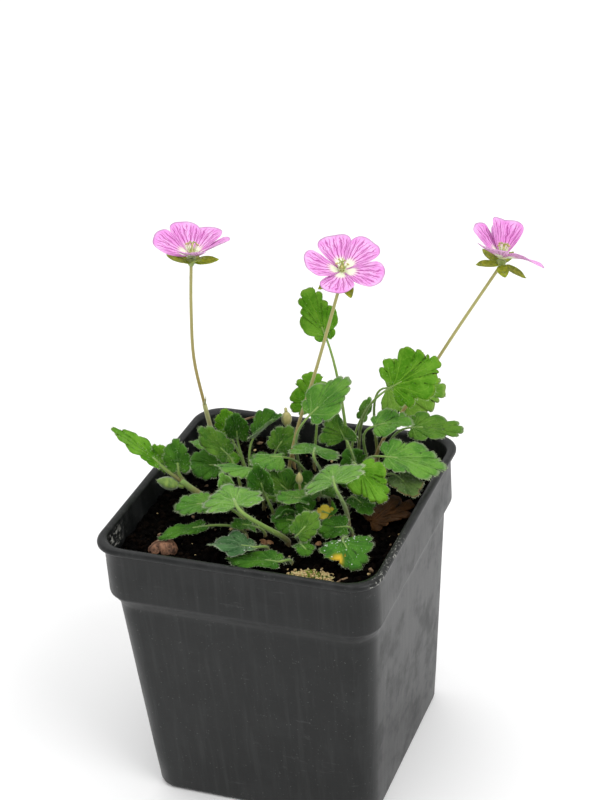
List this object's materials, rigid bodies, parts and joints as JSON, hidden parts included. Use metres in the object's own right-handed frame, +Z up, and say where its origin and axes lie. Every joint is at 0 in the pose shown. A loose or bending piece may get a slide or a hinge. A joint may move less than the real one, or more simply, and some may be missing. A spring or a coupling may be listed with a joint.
{
  "type": "potted storksbill plant",
  "caption": "Alpine storksbill with scalloped hairy leaves and pink veined flowers on thin stalks, in a square black nursery pot filled with dark compost.",
  "frame": {"origin": "the middle of the pot's flat underside", "axes": "+Z up along the pot's middle axis; -Y towards the pot's front, the side with the longest run of rim in the picture; +X to the pot's right"},
  "size_m": [0.1293, 0.1021, 0.174],
  "materials": {
    "pot": "satin black nursery plastic",
    "soil": "dark moist compost",
    "leaf": "matt green with fine white hairs",
    "stalk": "matt olive to tan",
    "bud": "matt yellowish green",
    "petal": "soft pink with darker veins",
    "stamens": "pale yellow-green",
    "bark": "rough reddish brown",
    "moss": "rough yellow-green",
    "dead_leaf": "dry brown"
  },
  "bodies": {
    "root": {"bark_chip": "bark", "corolla_left": "petal", "corolla_middle": "petal", "corolla_right": "petal", "dead_leaf": "dead_leaf", "leaf_back_1": "leaf", "leaf_back_2": "leaf", "leaf_back_3": "leaf", "leaf_back_4": "leaf", "leaf_back_5": "leaf", "leaf_back_6": "leaf", "leaf_back_7": "leaf", "leaf_back_9": "leaf", "leaf_front_1": "leaf", "leaf_front_2": "leaf", "leaf_front_3": "leaf", "leaf_front_4": "leaf", "leaf_front_5": "leaf", "leaf_front_6": "leaf", "leaf_front_7": "leaf", "leaf_front_8": "leaf", "leaf_left_1": "leaf", "leaf_left_2": "leaf", "leaf_left_3": "leaf", "leaf_left_4": "leaf", "leaf_left_5": "leaf", "leaf_left_6": "leaf", "leaf_mid_1": "leaf", "leaf_mid_10": "leaf", "leaf_mid_11": "leaf", "leaf_mid_12": "leaf", "leaf_mid_3": "leaf", "leaf_mid_4": "leaf", "leaf_mid_5": "leaf", "leaf_mid_6": "leaf", "leaf_mid_7": "leaf", "leaf_mid_8": "leaf", "leaf_mid_9": "leaf", "leaf_right_1": "leaf", "leaf_right_2": "leaf", "leaf_right_3": "leaf", "leaf_right_4": "leaf", "leaf_right_5": "leaf", "leaf_right_6": "leaf", "leaf_right_7": "leaf", "leaf_right_8": "leaf", "leaf_right_9": "leaf", "leafy_shoot_left": "leaf", "moss": "moss", "nodding_bud": "bud", "pot": "pot", "soil": "soil", "stalk_and_calyx_left": "stalk", "stalk_and_calyx_middle": "stalk", "stalk_and_calyx_right": "stalk", "stamens_and_stigmas_left": "stamens", "stamens_and_stigmas_middle": "stamens", "stamens_and_stigmas_right": "stamens"}
  },
  "joints": []
}
